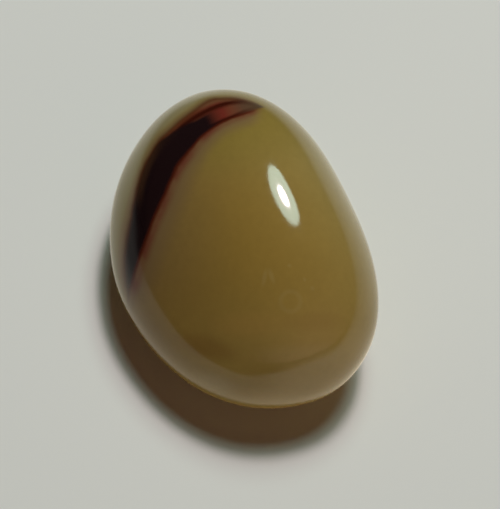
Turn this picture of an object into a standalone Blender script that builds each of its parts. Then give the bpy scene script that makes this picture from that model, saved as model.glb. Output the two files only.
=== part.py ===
"""Tumbled mookaite jasper: a single polished pebble, in metres with +Z up.

The origin lies under the middle of the stone, on the surface that it rests on. +Y runs along the stone
towards its narrow end, and the longest, second and shortest extents lie along Y, X and Z.
"""

import math

import bmesh
import bpy
from mathutils import Vector

MM = 0.001

# Tumbling grinds a rough lump from every side at once, so the pebble is what is left between its worn sides.
# Each worn side is a plane, given by the way it faces (its bearing from +Y towards +X and its rise above
# level, in degrees) and by its distance from the heart of the stone.
WORN_SIDES = {
    "crown": (85, 70, 11.8 * MM),
    "left shoulder": (280, 40, 10.9 * MM),
    "broad left shoulder": (255, 45, 12.1 * MM),
    "right haunch": (125, 25, 15.8 * MM),
    "narrow end": (350, 15, 14.5 * MM),
    "broad end": (200, 0, 16.1 * MM),
    "narrow right flank": (70, -5, 15.3 * MM),
    "right flank": (90, -15, 12.6 * MM),
    "left keel": (300, -50, 15.9 * MM),
    "right underside": (95, -70, 9.7 * MM),
    "left underside": (270, -75, 9.9 * MM),
}
SOFTNESS = 2.4  # power of the blend between worn sides: 2 is as round as an ellipsoid, 20 nearly a cut gem
REST_WEAR = 0.15 * MM  # depth of the spot worn flat underneath, on which the stone rests
FACET_LEVEL = 5  # the ball that the stone is shaped from has 20 * 4 ** (FACET_LEVEL - 1) triangles

OCHRE = (0.262, 0.162, 0.028, 1.0)  # the olive-ochre ground of the stone, linear RGB
POLISH_ROUGHNESS = 0.06
CHALCEDONY_IOR = 1.54


def clear_scene():
    for obj in list(bpy.data.objects):
        bpy.data.objects.remove(obj, do_unlink=True)


def facing(bearing, rise):
    """Unit vector of a bearing from +Y towards +X and a rise above level, in degrees."""
    bearing, rise = math.radians(bearing), math.radians(rise)
    level = math.cos(rise)
    return Vector((level * math.sin(bearing), level * math.cos(bearing), math.sin(rise)))


def surface_point(direction, planes):
    """Where the surface crosses a line from the heart of the stone along a unit direction.

    A point is inside while its nearness to the planes, each raised to SOFTNESS, adds up to less than one.
    """
    nearness = sum(max(0.0, normal.dot(direction) / distance) ** SOFTNESS for normal, distance in planes)
    return direction * nearness ** (-1 / SOFTNESS)


def wear_flat(mesh, depth):
    """Cuts the lowest part of a closed mesh off level, that deep, and closes the cut with one flat face."""
    level = min(vert.co.z for vert in mesh.verts) + depth
    cut = bmesh.ops.bisect_plane(
        mesh,
        geom=mesh.verts[:] + mesh.edges[:] + mesh.faces[:],
        plane_co=(0, 0, level),
        plane_no=(0, 0, -1),
        clear_outer=True,
    )
    rim = [item for item in cut["geom_cut"] if isinstance(item, bmesh.types.BMEdge)]
    bmesh.ops.edgeloop_fill(mesh, edges=rim)


def stand_on_origin(mesh):
    """Moves a mesh so that the middle of its box is over the origin and its lowest face at z = 0."""
    across, along, up = ([vert.co[axis] for vert in mesh.verts] for axis in range(3))
    middle_x = (min(across) + max(across)) / 2
    middle_y = (min(along) + max(along)) / 2
    bmesh.ops.translate(mesh, verts=mesh.verts, vec=(-middle_x, -middle_y, -min(up)))


def polished_jasper():
    material = bpy.data.materials.new("polished_jasper")
    material.use_nodes = True
    shader = material.node_tree.nodes["Principled BSDF"]
    shader.inputs["Base Color"].default_value = OCHRE
    shader.inputs["Roughness"].default_value = POLISH_ROUGHNESS
    shader.inputs["Metallic"].default_value = 0.0
    shader.inputs["IOR"].default_value = CHALCEDONY_IOR
    return material


def make_stone():
    planes = [(facing(bearing, rise), distance) for bearing, rise, distance in WORN_SIDES.values()]
    shape = bmesh.new()
    bmesh.ops.create_icosphere(shape, subdivisions=FACET_LEVEL, radius=1.0)
    for vert in shape.verts:
        vert.co = surface_point(vert.co.normalized(), planes)
    wear_flat(shape, REST_WEAR)
    stand_on_origin(shape)
    bmesh.ops.recalc_face_normals(shape, faces=shape.faces)
    mesh = bpy.data.meshes.new("stone")
    shape.to_mesh(mesh)
    shape.free()
    mesh.shade_smooth()
    mesh.materials.append(polished_jasper())
    bpy.context.scene.collection.objects.link(bpy.data.objects.new("stone", mesh))


clear_scene()
make_stone()
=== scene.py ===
"""The looks of a tumbled mookaite jasper: one polished pebble on pale paper, under one shaded lamp.

Everything is in metres in the part's own frame: +Z up, the stone's length along Y, its resting flat at z = 0.
"""

import math

import bpy
from mathutils import Matrix, Vector


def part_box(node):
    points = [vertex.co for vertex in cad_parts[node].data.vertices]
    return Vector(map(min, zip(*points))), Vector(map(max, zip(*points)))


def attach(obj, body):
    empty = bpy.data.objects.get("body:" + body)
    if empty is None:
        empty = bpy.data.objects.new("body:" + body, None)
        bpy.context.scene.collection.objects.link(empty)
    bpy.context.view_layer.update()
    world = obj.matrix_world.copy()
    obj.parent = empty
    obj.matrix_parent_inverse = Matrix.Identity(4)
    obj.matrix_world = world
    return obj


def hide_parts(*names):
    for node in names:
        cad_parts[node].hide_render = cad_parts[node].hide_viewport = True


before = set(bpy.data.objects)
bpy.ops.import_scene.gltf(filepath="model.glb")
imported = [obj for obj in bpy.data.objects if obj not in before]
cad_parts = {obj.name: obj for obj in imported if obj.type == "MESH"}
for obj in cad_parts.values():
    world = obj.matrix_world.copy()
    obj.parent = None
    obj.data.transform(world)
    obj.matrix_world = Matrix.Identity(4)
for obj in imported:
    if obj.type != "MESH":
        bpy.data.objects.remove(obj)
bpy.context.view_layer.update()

# ---------------------------------------------------------------------------------------------------------
# The stone. Mookaite is a silicified sea-floor mud, here olive ochre with a crescent of near-black iron
# stain. A rough lump was tumbled with grit until only its worn sides were left, then with polish until it
# shone, so its shape is a soft blend of those sides and its surface is as smooth as glass.
# ---------------------------------------------------------------------------------------------------------
MM = 0.001

# Each worn side: the way it faces (its bearing from +Y towards +X and its rise above level, in degrees) and
# its distance from the heart of the stone.
WORN_SIDES = {
    "Crown": (85, 70, 11.8 * MM),
    "Left shoulder": (280, 40, 10.9 * MM),
    "Broad left shoulder": (255, 45, 12.1 * MM),
    "Right haunch": (125, 25, 15.8 * MM),
    "Narrow end": (350, 15, 14.5 * MM),
    "Broad end": (200, 0, 16.1 * MM),
    "Narrow right flank": (70, -5, 15.3 * MM),
    "Right flank": (90, -15, 12.6 * MM),
    "Left keel": (300, -50, 15.9 * MM),
    "Right underside": (95, -70, 9.7 * MM),
    "Left underside": (270, -75, 9.9 * MM),
}
SOFTNESS = 2.4  # power of the blend between worn sides: 2 is as round as an ellipsoid, 20 nearly a cut gem
REST_WEAR = 0.15 * MM  # depth of the spot worn flat underneath, on which the stone rests
BALL_LEVEL = 7  # the ball that the stone is shaped from has 20 * 4 ** (BALL_LEVEL - 1) triangles


def facing(bearing, rise):
    """Unit vector of a bearing from +Y towards +X and a rise above level, in degrees."""
    bearing, rise = math.radians(bearing), math.radians(rise)
    level = math.cos(rise)
    return Vector((level * math.sin(bearing), level * math.cos(bearing), math.sin(rise)))


def wire(tree, kind, inputs, output=0, **settings):
    """Adds a node with these settings, feeds its inputs with values or sockets, and returns one output."""
    node = tree.nodes.new(kind)
    for name, value in settings.items():
        setattr(node, name, value)
    for place, value in inputs.items():
        if isinstance(value, bpy.types.NodeSocket):
            tree.links.new(value, node.inputs[place])
        else:
            node.inputs[place].default_value = value
    return node.outputs[output]


def number(tree, operation, *values):
    return wire(tree, "ShaderNodeMath", dict(enumerate(values)), operation=operation)


def vector(tree, operation, *values, output="Vector"):
    return wire(tree, "ShaderNodeVectorMath", dict(enumerate(values)), output, operation=operation)


def scaled(tree, value, factor):
    return wire(tree, "ShaderNodeVectorMath", {0: value, "Scale": factor}, operation="SCALE")


def dot(tree, first, second):
    return vector(tree, "DOT_PRODUCT", first, second, output="Value")


def worn_pebble_tree():
    """Geometry nodes that push a ball's points out to the blend of the worn sides, and stand it in a box."""
    tree = bpy.data.node_groups.new("worn_pebble", "GeometryNodeTree")
    tree.is_modifier = True
    tree.interface.new_socket("Geometry", in_out="OUTPUT", socket_type="NodeSocketGeometry")
    for name, kind in (
        ("Ball level", "NodeSocketInt"),
        ("Softness", "NodeSocketFloat"),
        ("Rest wear", "NodeSocketFloat"),
        ("Low corner", "NodeSocketVector"),
        ("High corner", "NodeSocketVector"),
        ("Finish", "NodeSocketMaterial"),
    ):
        tree.interface.new_socket(name, in_out="INPUT", socket_type=kind)
    for name in WORN_SIDES:
        tree.interface.new_socket(name + " reach", in_out="INPUT", socket_type="NodeSocketFloat")
    given = tree.nodes.new("NodeGroupInput").outputs

    # The surface is where the nearness to each worn side, raised to the softness, adds up to one.
    ball = wire(tree, "GeometryNodeMeshIcoSphere", {"Radius": 1.0, "Subdivisions": given["Ball level"]})
    outward = vector(tree, "NORMALIZE", wire(tree, "GeometryNodeInputPosition", {}))
    nearness = 0.0
    for name, (bearing, rise, _) in WORN_SIDES.items():
        lean = dot(tree, outward, facing(bearing, rise))
        share = number(tree, "MAXIMUM", number(tree, "DIVIDE", lean, given[name + " reach"]), 0.0)
        nearness = number(tree, "ADD", nearness, number(tree, "POWER", share, given["Softness"]))
    reach = number(tree, "POWER", nearness, number(tree, "DIVIDE", -1.0, given["Softness"]))
    surface = scaled(tree, outward, reach)
    pebble = wire(tree, "GeometryNodeSetPosition", {"Geometry": ball, "Position": surface})

    # The lowest points are worn off level.
    place = wire(tree, "GeometryNodeInputPosition", {})
    height = wire(tree, "ShaderNodeSeparateXYZ", {0: place}, "Z")
    lowest = wire(tree, "GeometryNodeAttributeStatistic", {"Geometry": pebble, "Attribute": height}, "Min")
    level = number(tree, "ADD", lowest, given["Rest wear"])
    worn = wire(tree, "ShaderNodeCombineXYZ", {
        "X": wire(tree, "ShaderNodeSeparateXYZ", {0: place}, "X"),
        "Y": wire(tree, "ShaderNodeSeparateXYZ", {0: place}, "Y"),
        "Z": number(tree, "MAXIMUM", height, level),
    })
    rested = wire(tree, "GeometryNodeSetPosition", {"Geometry": pebble, "Position": worn})

    # The whole is then fitted between the two corners.
    low = wire(tree, "GeometryNodeBoundBox", {"Geometry": rested}, "Min")
    high = wire(tree, "GeometryNodeBoundBox", {"Geometry": rested}, "Max")
    share = vector(tree, "DIVIDE", vector(tree, "SUBTRACT", place, low), vector(tree, "SUBTRACT", high, low))
    room = vector(tree, "SUBTRACT", given["High corner"], given["Low corner"])
    stood = wire(tree, "GeometryNodeSetPosition", {
        "Geometry": rested,
        "Position": vector(tree, "ADD", given["Low corner"], vector(tree, "MULTIPLY", share, room)),
    })
    smooth = wire(tree, "GeometryNodeSetShadeSmooth", {"Geometry": stood})
    whole = wire(tree, "GeometryNodeRealizeInstances", {"Geometry": smooth})
    finished = wire(tree, "GeometryNodeSetMaterial", {"Geometry": whole, "Material": given["Finish"]})
    tree.links.new(finished, tree.nodes.new("NodeGroupOutput").inputs["Geometry"])
    return tree


# The ground of the stone is ochre, and turns to other colours towards some of its sides. All colours are
# linear RGB. Each side is given by its bearing and rise, and by how squarely a spot has to face it, as a
# cosine, for the colour to begin and to be full. An end above 1 means that the colour never gets full.
OCHRE = (0.312, 0.194, 0.040, 1.0)
SIDE_COLOURS = {
    "pale olive, to the right": ((0.366, 0.310, 0.118, 1.0), (64, -30), (-0.84, 1.17)),
    "brown, to the left": ((0.240, 0.152, 0.055, 1.0), (293, 14.5), (0.13, 1.36)),
    "olive, high on the narrow end": ((0.275, 0.195, 0.040, 1.0), (25, 45), (0.70, 1.05)),
}
# Low on the broad end the ground pales to buff: partly the stone's own paler colour, partly painted fill
# light on that side.
BUFF_AND_PAINTED_LIGHT = (0.384, 0.268, 0.072, 1.0)  # low on the broad end, where it sets in slowly and then fast
BUFF_AND_LIGHT_SIDE = (195, -10)
BUFF_AND_LIGHT_SPREAD = (0.20, 0.93)
BUFF_AND_LIGHT_POWER = 3.9

# The mottling, in two sizes: how fine its clouds are, per millimetre, and how detailed, and how dark the
# ground is where they are thinnest and how much that rises where they are thickest.
MOTTLING = ((0.22, 2.0, 0.95, 0.10), (1.6, 3.0, 0.93, 0.14))

# Ghosts of shells and mud clasts: the colour of each, its middle, the way it runs, its half length and half
# width, all in millimetres, and how strongly it shows. The ring is a shell cut across.
GHOST = (0.430, 0.330, 0.140, 1.0)
WARM_CLAY = (0.480, 0.265, 0.070, 1.0)
BROWN_CLAY = (0.230, 0.120, 0.030, 1.0)
WISPS = (
    (GHOST, (-0.63, -7.13, 14.80), (-0.84, -1.04, -0.71), 1.00, 0.30, 0.19),
    (GHOST, (-0.08, -7.31, 14.95), (-0.10, -1.38, -0.54), 0.95, 0.30, 0.19),
    (GHOST, (1.57, -7.26, 15.38), (1.00, 0.00, 0.00), 0.25, 0.25, 0.16),
    (GHOST, (2.26, -8.70, 14.84), (0.00, 1.00, 0.50), 0.28, 0.22, 0.16),
    (GHOST, (2.60, -9.52, 14.40), (0.00, 1.00, 0.50), 0.32, 0.25, 0.16),
    (WARM_CLAY, (-3.05, -9.30, 12.10), (4.75, -2.89, 1.96), 4.60, 1.60, 0.17),
    (GHOST, (0.20, -13.10, 10.50), (6.00, -2.30, -0.60), 5.20, 1.60, 0.30),
    (GHOST, (-6.74, -10.58, 6.70), (2.20, -2.35, 0.90), 2.80, 1.50, 0.60),
    (BROWN_CLAY, (-6.60, -8.35, 9.25), (3.06, -3.80, 1.38), 4.00, 1.60, 0.50),
    (BROWN_CLAY, (1.90, -11.60, 12.75), (4.10, -1.20, -1.00), 3.80, 1.30, 0.20),
)
WISP_CORE = 0.2  # share of a wisp's reach within which it shows fully
RING_MIDDLE = (0.53, -9.69, 14.06)
RING_RADIUS = 0.82
RING_HALF_WIDTH = 0.34
RING_STRENGTH = 0.13

# The stain is told by two angles, in degrees, as seen from the heart of the stone: the turn around the axis
# of the stain, and the tilt away from that axis. The turn falls from the near end of the stain, on top of the
# stone's narrow end, to its far end, low on the left side. Each edge and line is a curve through a few pairs
# of turn and tilt.
HEART = (0.909, 0.528, 7.267)  # in millimetres
STAIN_AXIS = facing(186, 48)
TURNS = (-110.0, 35.0)
TILTS = (70.0, 110.0)
INNER_EDGE = (
    (-110, 91), (-100, 86), (-95, 83.6), (-85, 79.8), (-75, 77.4), (-65, 76), (-45, 75.7), (-35, 77.2),
    (-25, 79.9), (-15, 80.2), (-5, 81.2), (8, 81), (14, 81.6), (20, 84.4), (26, 89), (35, 97),
)
OUTER_EDGE = (
    (-110, 77), (-100, 82), (-95, 84.4), (-85, 87.2), (-75, 89.2), (-65, 91.0), (-55, 93.8), (-45, 97.2),
    (-35, 99.4), (-25, 100.2), (-15, 98.3), (-5, 97.5), (2, 98.4), (8, 95.2), (14, 92), (20, 88.6),
    (25, 85.2), (35, 78),
)
BLACK_EDGE = (
    (-110, 107), (-30, 105), (-25, 101.5), (-20, 99.0), (-15, 96.5), (-10, 94.4), (-5, 92.0), (35, 88),
)
INNER_LINE = ((-110, 83), (-5, 83), (2, 82), (8, 81.6), (14, 82.6), (20, 85), (35, 88))
OUTER_LINE = ((-110, 95), (-12, 95), (2, 92.8), (8, 91.8), (14, 90.8), (20, 88.6), (35, 84))
FRINGE_LINE = ((-110, 99.5), (-8, 99.5), (2, 98), (8, 96.2), (14, 94), (35, 88))
INNER_LINE_HALF_WIDTH = 2.4
OUTER_LINE_HALF_WIDTH = 3.5
FRINGE_LINE_HALF_WIDTH = 4.0
LINE_CORE = 0.2  # half width of the part of a line that shows fully

# What fills the stain. With each colour go the turns at which it is nil and full, at the near or the far end
# of the stain, and the span: how far past an edge, in degrees of tilt, it is nil and full. The crispness of
# an edge changes from the first of two turns to the second.
FILLING = (  # of the stain where it isn't black, along its turn
    (-8, (0.165, 0.045, 0.018, 1.0)),
    (5, (0.185, 0.028, 0.018, 1.0)),
    (9, (0.178, 0.054, 0.027, 1.0)),
    (14, (0.130, 0.064, 0.036, 1.0)),
    (20, (0.115, 0.070, 0.038, 1.0)),
)
DARK_LINE = (0.050, 0.007, 0.003, 1.0)
LINE_TURNS = (22, 8)
FRINGE_BROWN = (0.190, 0.078, 0.036, 1.0)
FRINGE_NEAR_TURNS = (15, 8)
FRINGE_FAR_TURNS = (-7, 0)
STAIN_BLACK = (0.014, 0.006, 0.007, 1.0)
BLACK_TURNS = (5.5, -3.5)
BLACK_SPAN = (1.8, -1.8)
BLACK_MARGIN = (0.052, 0.022, 0.011, 1.0)
MARGIN_NEAR_TURNS = (-12, -38)
MARGIN_FAR_TURNS = (-60, -46)
MARGIN_SPAN = (-7.0, -1.0)
INNER_CRISPNESS = (-30, 10, 1.0, 2.1)
INNER_SPAN = (-1, 2.6)
OUTER_CRISPNESS = (-75, -35, 0.65, 1.0)
OUTER_SPAN = (2.2, -1.5)

# What lies beside the stain: red and a duller halo on its inner side, rust and burnt ochre on its outer side,
# and past them a pale cream that is painted reflection of the paper. The red is patchy.
STAIN_NEAR_TURNS = (24, 14)
STAIN_FAR_TURNS = (-106, -92)
HALO = (0.225, 0.141, 0.060, 1.0)
HALO_SPAN = (-24, -5)
RED = (0.178, 0.052, 0.029, 1.0)
RED_SPAN = (-9.5, -2)
RED_CLOUDS = (0.45, 2.0)  # how fine, per millimetre, and how detailed
RED_PATCHINESS = (0.35, 0.65, 0.5, 1.0)  # from this thin to this thick a cloud, the red is this strong
DEEP_RED = (0.095, 0.016, 0.006, 1.0)
DEEP_RED_SPAN = (-3, 0.2)
# The pale cream past the outer side of the stain is painted reflection of the paper, dimmer towards the far
# end.
PAINTED_REFLECTION = (0.352, 0.292, 0.145, 1.0)
REFLECTION_NEAR_TURNS = (18, -6)
REFLECTION_FAR_TURNS = (-118, -92)
REFLECTION_SPAN = (1, 9)
DIM_PAINTED_REFLECTION = (0.294, 0.238, 0.086, 1.0)
FULL_REFLECTION_TURNS = (-38, -20)  # from shaded to plain cream
BURNT_OCHRE = (0.240, 0.150, 0.065, 1.0)
BURNT_OCHRE_SPAN = (7.0, 1.5)
RUST = (0.105, 0.033, 0.011, 1.0)
RUST_SPAN = (4, 0)

# Clouds, this fine and this detailed, make the edges of the stain wander and the polish vary.
WOBBLE_CLOUDS = (0.5, 3.0)
MEAN_CLOUD = (0.5, 0.5, 0.5)
WOBBLE = 0.035  # how far an edge wanders, as a share of its distance from the heart
POLISH_CLOUDS = (0.9, 3.0)
POLISH_ROUGHNESS = (0.3, 0.8, 0.07, 0.11)  # from this thin to this thick a cloud, the polish is this rough
CHALCEDONY_IOR = 1.54


def blend(tree, factor, first, second):
    return wire(tree, "ShaderNodeMix", {0: factor, 6: first, 7: second}, 2, data_type="RGBA")


def ramp(tree, value, start, end, low=0.0, high=1.0):
    """The value carried smoothly from start to end onto low to high."""
    places = {"Value": value, "From Min": start, "From Max": end, "To Min": low, "To Max": high}
    return wire(tree, "ShaderNodeMapRange", places, interpolation_type="SMOOTHSTEP")


def even_ramp(tree, value, start, end):
    """The value carried evenly from start to end onto 0 to 1."""
    return wire(tree, "ShaderNodeMapRange", {"Value": value, "From Min": start, "From Max": end})


def clouds(tree, place, scale, detail, output="Fac"):
    return wire(tree, "ShaderNodeTexNoise", {"Vector": place, "Scale": scale, "Detail": detail}, output)


def product(tree, *shares):
    whole = shares[0]
    for share in shares[1:]:
        whole = number(tree, "MULTIPLY", whole, share)
    return whole


def jasper_ground(tree, place, outward):
    """The mottled ground of the stone, without its stain, with painted fill light in the buff low on its
    broad end.
    """
    ground = OCHRE
    for colour, side, spread in SIDE_COLOURS.values():
        ground = blend(tree, ramp(tree, dot(tree, outward, facing(*side)), *spread), ground, colour)
    # The buff low on the broad end: partly paler stone, partly painted fill light.
    low = even_ramp(tree, dot(tree, outward, facing(*BUFF_AND_LIGHT_SIDE)), *BUFF_AND_LIGHT_SPREAD)
    ground = blend(tree, number(tree, "POWER", low, BUFF_AND_LIGHT_POWER), ground, BUFF_AND_PAINTED_LIGHT)

    for colour, middle, way, half_length, half_width, strength in WISPS:
        near = wire(tree, "ShaderNodeMapping", {
            "Vector": place,
            "Location": middle,
            "Rotation": Vector(way).to_track_quat("Y", "Z").to_euler(),
            "Scale": (half_width, half_length, half_width),
        }, vector_type="TEXTURE")
        share = ramp(tree, vector(tree, "LENGTH", near, output="Value"), 1.0, WISP_CORE, 0.0, strength)
        ground = blend(tree, share, ground, colour)
    from_middle = vector(tree, "DISTANCE", place, RING_MIDDLE, output="Value")
    from_ring = number(tree, "ABSOLUTE", number(tree, "SUBTRACT", from_middle, RING_RADIUS))
    ground = blend(tree, ramp(tree, from_ring, RING_HALF_WIDTH, 0.0, 0.0, RING_STRENGTH), ground, GHOST)

    shades = (
        number(tree, "MULTIPLY_ADD", clouds(tree, place, scale, detail), rise, darkest)
        for scale, detail, darkest, rise in MOTTLING
    )
    return scaled(tree, ground, product(tree, *shades))


def stain_angles(tree, place, outward):
    """The turn and the tilt of every spot, slightly wobbly, so that what they draw looks grown."""
    wobble = vector(tree, "SUBTRACT", clouds(tree, place, *WOBBLE_CLOUDS, "Color"), MEAN_CLOUD)
    bent = vector(tree, "ADD", outward, scaled(tree, wobble, WOBBLE))
    sideways = Vector((0, 0, 1)).cross(STAIN_AXIS).normalized()
    upwards = STAIN_AXIS.cross(sideways)
    aside, above, ahead = (dot(tree, bent, way) for way in (sideways, upwards, STAIN_AXIS))
    turn = number(tree, "DEGREES", number(tree, "ARCTAN2", aside, above))
    squares = number(tree, "ADD", product(tree, aside, aside), product(tree, above, above))
    tilt = number(tree, "DEGREES", number(tree, "ARCTAN2", number(tree, "SQRT", squares), ahead))
    return turn, tilt


def curve_of_tilt(tree, turn, pairs):
    """The tilt, at every turn, of a smooth curve through a few pairs of turn and tilt."""
    (first, last), (low, high) = TURNS, TILTS
    height = wire(tree, "ShaderNodeFloatCurve", {"Value": even_ramp(tree, turn, first, last)})
    spots = [((at - first) / (last - first), (tilt - low) / (high - low)) for at, tilt in pairs]
    curve = height.node.mapping.curves[0]
    curve.points[0].location = spots[0]
    curve.points[-1].location = spots[-1]
    for spot in spots[1:-1]:
        curve.points.new(*spot)
    height.node.mapping.update()
    return number(tree, "MULTIPLY_ADD", height, high - low, low)


def stain_filling(tree, turn):
    first, last = FILLING[0][0], FILLING[-1][0]
    filling = wire(tree, "ShaderNodeValToRGB", {"Fac": even_ramp(tree, turn, first, last)}, "Color")
    stops = filling.node.color_ramp.elements
    for at, _ in FILLING[1:-1]:
        stops.new((at - first) / (last - first))
    for stop, (_, colour) in zip(stops, FILLING):
        stop.color = colour
    return filling


def jasper_colour(tree, place, outward):
    """The ground and the stain across it: first what lies on either side of the stain, then what fills it."""
    turn, tilt = stain_angles(tree, place, outward)

    def past(pairs):
        return number(tree, "SUBTRACT", tilt, curve_of_tilt(tree, turn, pairs))

    def line(pairs, half_width):
        return ramp(tree, number(tree, "ABSOLUTE", past(pairs)), half_width, LINE_CORE)

    ground = jasper_ground(tree, place, outward)
    past_inner = product(tree, past(INNER_EDGE), ramp(tree, turn, *INNER_CRISPNESS))
    past_outer = product(tree, past(OUTER_EDGE), ramp(tree, turn, *OUTER_CRISPNESS))
    beside = product(tree, ramp(tree, turn, *STAIN_NEAR_TURNS), ramp(tree, turn, *STAIN_FAR_TURNS))

    halo = product(tree, beside, ramp(tree, past_inner, *HALO_SPAN))
    patchy = ramp(tree, clouds(tree, place, *RED_CLOUDS), *RED_PATCHINESS)
    red = product(tree, beside, patchy, ramp(tree, past_inner, *RED_SPAN))
    deep_red = product(tree, beside, ramp(tree, past_inner, *DEEP_RED_SPAN))
    inner_side = blend(tree, halo, ground, HALO)
    inner_side = blend(tree, red, inner_side, RED)
    inner_side = blend(tree, deep_red, inner_side, DEEP_RED)

    # The painted reflection of the paper: a pale cream past the rust and burnt ochre, dimmer towards the far
    # end.
    reflection_turns = product(tree, ramp(tree, turn, *REFLECTION_NEAR_TURNS), ramp(tree, turn, *REFLECTION_FAR_TURNS))
    painted_reflection = blend(tree, ramp(tree, turn, *FULL_REFLECTION_TURNS), DIM_PAINTED_REFLECTION, PAINTED_REFLECTION)
    burnt_ochre = product(tree, beside, ramp(tree, past_outer, *BURNT_OCHRE_SPAN))
    rust = product(tree, beside, ramp(tree, past_outer, *RUST_SPAN))
    outer_side = blend(tree, product(tree, reflection_turns, ramp(tree, past_outer, *REFLECTION_SPAN)), ground, painted_reflection)
    outer_side = blend(tree, burnt_ochre, outer_side, BURNT_OCHRE)
    outer_side = blend(tree, rust, outer_side, RUST)

    line_turns = ramp(tree, turn, *LINE_TURNS)
    inner_line = product(tree, line(INNER_LINE, INNER_LINE_HALF_WIDTH), line_turns)
    outer_line = product(tree, line(OUTER_LINE, OUTER_LINE_HALF_WIDTH), line_turns)
    fringe_turns = product(tree, ramp(tree, turn, *FRINGE_FAR_TURNS), ramp(tree, turn, *FRINGE_NEAR_TURNS))
    fringe = product(tree, line(FRINGE_LINE, FRINGE_LINE_HALF_WIDTH), fringe_turns)
    stain = blend(tree, inner_line, stain_filling(tree, turn), DARK_LINE)
    stain = blend(tree, outer_line, stain, DARK_LINE)
    stain = blend(tree, fringe, stain, FRINGE_BROWN)

    margin_turns = product(tree, ramp(tree, turn, *MARGIN_FAR_TURNS), ramp(tree, turn, *MARGIN_NEAR_TURNS))
    margin = product(tree, ramp(tree, past_outer, *MARGIN_SPAN), margin_turns)
    black = product(tree, ramp(tree, past(BLACK_EDGE), *BLACK_SPAN), ramp(tree, turn, *BLACK_TURNS))
    stain = blend(tree, black, stain, blend(tree, margin, STAIN_BLACK, BLACK_MARGIN))

    stain = blend(tree, ramp(tree, past_outer, *OUTER_SPAN), outer_side, stain)
    return blend(tree, ramp(tree, past_inner, *INNER_SPAN), inner_side, stain)


def jasper_finish():
    material = bpy.data.materials.new("tumbled_jasper_polish")
    material.use_nodes = True
    tree = material.node_tree
    shader = tree.nodes["Principled BSDF"]
    place = scaled(tree, wire(tree, "ShaderNodeTexCoord", {}, "Object"), 1 / MM)
    outward = vector(tree, "NORMALIZE", vector(tree, "SUBTRACT", place, HEART))
    roughness = ramp(tree, clouds(tree, place, *POLISH_CLOUDS), *POLISH_ROUGHNESS)
    tree.links.new(jasper_colour(tree, place, outward), shader.inputs["Base Color"])
    tree.links.new(roughness, shader.inputs["Roughness"])
    shader.inputs["IOR"].default_value = CHALCEDONY_IOR
    return material


def make_stone(finish):
    """The pebble as a plain mesh. The nodes shape an empty seed, whose result is kept in its stead."""
    low_corner, high_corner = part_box("stone")
    sizes = {
        "Ball level": BALL_LEVEL,
        "Softness": SOFTNESS,
        "Rest wear": REST_WEAR,
        "Low corner": low_corner,
        "High corner": high_corner,
        "Finish": finish,
        **{name + " reach": distance for name, (_, _, distance) in WORN_SIDES.items()},
    }
    seed = bpy.data.objects.new("stone_seed", bpy.data.meshes.new("stone_seed"))
    bpy.context.scene.collection.objects.link(seed)
    shaping = seed.modifiers.new("worn_pebble", "NODES")
    shaping.node_group = worn_pebble_tree()
    for socket in shaping.node_group.interface.items_tree:
        if socket.in_out == "INPUT":
            shaping[socket.identifier] = sizes[socket.name]
    bpy.context.view_layer.update()
    graph = bpy.context.evaluated_depsgraph_get()
    mesh = bpy.data.meshes.new_from_object(seed.evaluated_get(graph))
    mesh.materials.clear()
    mesh.materials.append(finish)
    bpy.data.objects.remove(seed)
    pebble = bpy.data.objects.new("jasper_stone", mesh)
    bpy.context.scene.collection.objects.link(pebble)
    return pebble


stone = make_stone(jasper_finish())
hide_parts("stone")
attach(stone, "root")

# ---------------------------------------------------------------------------------------------------------
# The paper: a matt, nearly white sheet that the stone lies on. It is plain to the eye, but as the polish
# mirrors it, it has painted light: a lit strip that fades out with distance, a warmer painted glare close
# to the stone and a painted warm glow before its broad end, as on a sheet that only a shaded lamp lights.
# ---------------------------------------------------------------------------------------------------------
PAPER_SIDE = 3000 * MM
PAPER_WHITE = (0.84, 0.84, 0.82, 1.0)

# The strip, as the polish mirrors it, runs from left to right, and widens and brightens that way.
STRIP_WAY = facing(107.5, 0)
STRIP_SIDE = facing(197.5, 0)
STRIP_MIDDLE_ALONG = -110 * MM
STRIP_MIDDLE_ACROSS = 14 * MM
STRIP_HALF_LENGTH = 200 * MM
STRIP_END_CRISPNESS = 6.0
STRIP_WIDENS = (-25 * MM, 15 * MM)  # where along the strip it changes
STRIP_HALF_WIDTHS = (45.5 * MM, 66 * MM)
STRIP_CRISPNESSES = (18.0, 6.0)
STRIP_BRIGHTENS = (-40 * MM, 40 * MM)
STRIP_BRIGHTNESSES = (0.76, 0.96)
DIM_ALONG = (-20 * MM, -50 * MM)  # the left part of the strip is dimmer, away from the broad end
DIM_ACROSS = (8 * MM, -16 * MM)
DIMMING = 0.5

GLARE_WHITE = (1.15, 0.95, 0.65)
GLARE_RADIUS = 28 * MM
GLARE_CRISPNESS = 6.0
GLARE_BRIGHTNESSES = (0.34, 0.22)  # from left to right

WARM_WHITE = (1.00, 0.80, 0.55)
FRONT_WAY = facing(170, 0)
FRONT_SPREAD = (0.70, 0.95)  # how squarely a spot has to lie that way, as a cosine
FRONT_BRIGHTNESS = 0.5
FRONT_REACH = 180 * MM
FRONT_CRISPNESS = 4.0


def fading(tree, distance, half_way, crispness):
    """One up to about half way, then falling off the faster the higher the crispness."""
    share = number(tree, "DIVIDE", number(tree, "ABSOLUTE", distance), half_way)
    return number(tree, "DIVIDE", 1.0, number(tree, "ADD", number(tree, "POWER", share, crispness), 1.0))


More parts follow.
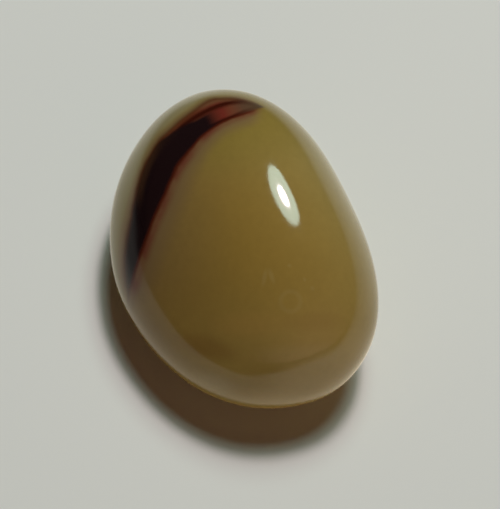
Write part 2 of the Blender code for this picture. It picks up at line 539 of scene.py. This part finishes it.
def mirrored_paper(tree):
    """The colour of the paper as the polish of the stone mirrors it, with its painted light: a lit strip,
    glare and glow.
    """
    spot = wire(tree, "ShaderNodeTexCoord", {}, "Object")
    from_stone = vector(tree, "LENGTH", spot, output="Value")
    along = dot(tree, spot, STRIP_WAY)
    across = dot(tree, spot, STRIP_SIDE)
    along_from_middle = number(tree, "SUBTRACT", along, STRIP_MIDDLE_ALONG)
    across_from_middle = number(tree, "SUBTRACT", across, STRIP_MIDDLE_ACROSS)
    half_width = ramp(tree, along, *STRIP_WIDENS, *STRIP_HALF_WIDTHS)
    crispness = ramp(tree, along, *STRIP_WIDENS, *STRIP_CRISPNESSES)
    dimming = product(tree, ramp(tree, along, *DIM_ALONG, 0.0, DIMMING), ramp(tree, across, *DIM_ACROSS))
    strip = product(
        tree,
        ramp(tree, along, *STRIP_BRIGHTENS, *STRIP_BRIGHTNESSES),
        fading(tree, across_from_middle, half_width, crispness),
        number(tree, "SUBTRACT", 1.0, dimming),
        fading(tree, along_from_middle, STRIP_HALF_LENGTH, STRIP_END_CRISPNESS),
    )
    glare = product(
        tree,
        ramp(tree, along, *STRIP_BRIGHTENS, *GLARE_BRIGHTNESSES),
        fading(tree, from_stone, GLARE_RADIUS, GLARE_CRISPNESS),
    )
    towards_front = dot(tree, vector(tree, "NORMALIZE", spot), FRONT_WAY)
    front = product(
        tree,
        ramp(tree, towards_front, *FRONT_SPREAD, 0.0, FRONT_BRIGHTNESS),
        fading(tree, from_stone, FRONT_REACH, FRONT_CRISPNESS),
    )
    lit = vector(tree, "ADD", scaled(tree, PAPER_WHITE[:3], strip), scaled(tree, GLARE_WHITE, glare))
    return vector(tree, "ADD", lit, scaled(tree, WARM_WHITE, front))


def matt_paper():
    material = bpy.data.materials.new("matt_paper")
    material.use_nodes = True
    tree = material.node_tree
    shader = tree.nodes["Principled BSDF"]
    # The polish sees the paper with its painted light; all other rays see it plain.
    in_polish = wire(tree, "ShaderNodeLightPath", {}, "Is Glossy Ray")
    white = blend(tree, in_polish, PAPER_WHITE, mirrored_paper(tree))
    tree.links.new(white, shader.inputs["Base Color"])
    shader.inputs["Roughness"].default_value = 1.0
    shader.inputs["Specular IOR Level"].default_value = 0.0
    return material


bpy.ops.mesh.primitive_plane_add(size=PAPER_SIDE)
paper = bpy.context.object
paper.name = "paper"
paper.data.materials.append(matt_paper())

# ---------------------------------------------------------------------------------------------------------
# The light: one lamp high to the right of the narrow end, whose round shade leans, so that it looks oval
# from the stone, and whose bulb shows as a brighter spot off its middle. The room around it is dim and warm.
# ---------------------------------------------------------------------------------------------------------
LAMP_PLACE = Vector((226.5, 158.5, 639.0)) * MM
LAMP_AIM = Vector((0.9, 0.5, 7.0)) * MM
SHADE_RADIUS = 164 * MM
SHADE_NARROWNESS = 0.87  # of the oval's width to its length
SHADE_NARROW_WAY = Vector((0.945, 0.0, -0.33))
SHADE_RADIANCE = (6.8, 9.1, 8.0)
BULB_SHARE = 0.32  # of the bulb's size to the shade's
BULB_OFFSET = Vector((-12.0, -7.6, 6.0)) * MM
BULB_LEAD = 0.1  # how far the bulb stands before the shade, as a share of its offset
BULB_RADIANCE = (66.0, 52.0, 56.0)
ROOM_DARK = (0.018, 0.007, 0.004)
ROOM_GLOW = (0.52, 0.31, 0.20)
GLOW_WAY = facing(180, 0)
GLOW_NARROWNESS = 4.0
BACKDROP = (0.53, 0.565, 0.51, 1.0)  # what the camera sees past the edge of the paper


def oval_lamp(name, radius, radiance, offset):
    way = (LAMP_AIM - LAMP_PLACE).normalized()
    narrow = (SHADE_NARROW_WAY - way * SHADE_NARROW_WAY.dot(way)).normalized()
    strongest = max(radiance)
    light = bpy.data.lights.new(name, "AREA")
    light.shape = "ELLIPSE"
    light.size = 2 * radius * SHADE_NARROWNESS
    light.size_y = 2 * radius
    area = math.pi * radius * radius * SHADE_NARROWNESS
    light.energy = strongest * math.pi * area
    light.color = [channel / strongest for channel in radiance]
    lamp = bpy.data.objects.new(name, light)
    lamp.location = LAMP_PLACE + offset + way * offset.length * BULB_LEAD
    lamp.rotation_euler = Matrix((narrow, narrow.cross(way), -way)).transposed().to_euler()
    bpy.context.scene.collection.objects.link(lamp)


def dim_room():
    world = bpy.data.worlds.new("room")
    world.use_nodes = True
    tree = world.node_tree
    sight = wire(tree, "ShaderNodeTexCoord", {}, "Generated")
    nearness = number(tree, "MAXIMUM", dot(tree, sight, GLOW_WAY), 0.0)
    glow = scaled(tree, ROOM_GLOW, number(tree, "POWER", nearness, GLOW_NARROWNESS))
    room = vector(tree, "ADD", glow, ROOM_DARK)
    seen = wire(tree, "ShaderNodeLightPath", {}, "Is Camera Ray")
    tree.links.new(blend(tree, seen, room, BACKDROP), tree.nodes["Background"].inputs["Color"])
    return world


oval_lamp("lamp", SHADE_RADIUS, SHADE_RADIANCE, Vector())
oval_lamp("bulb", SHADE_RADIUS * BULB_SHARE, BULB_RADIANCE, BULB_OFFSET)
bpy.context.scene.world = dim_room()

# ---------------------------------------------------------------------------------------------------------
# The camera: a long lens about 22 cm from the stone, looking steeply down on it from the side of its broad
# end. Its focal length is given in pixels, and the long side of the picture has 509 of them.
# ---------------------------------------------------------------------------------------------------------
CAMERA_PLACE = Vector((-42.56, -94.22, 200.6)) * MM
CAMERA_TARGET = Vector((1.094, -0.614, 6.35)) * MM
FOCAL_PIXELS = 2552
FRAME_LONG_SIDE = 509
SENSOR = 36.0  # in millimetres, as Blender's lens is
NEAREST_SEEN = 10 * MM

camera_data = bpy.data.cameras.new("camera")
camera_data.sensor_fit = "AUTO"
camera_data.sensor_width = SENSOR
camera_data.lens = FOCAL_PIXELS * SENSOR / FRAME_LONG_SIDE
camera_data.clip_start = NEAREST_SEEN
camera = bpy.data.objects.new("camera", camera_data)
camera.location = CAMERA_PLACE
camera.rotation_euler = (CAMERA_TARGET - CAMERA_PLACE).to_track_quat("-Z", "Y").to_euler()
bpy.context.scene.collection.objects.link(camera)
bpy.context.scene.camera = camera
bpy.context.scene.view_settings.view_transform = "Standard"
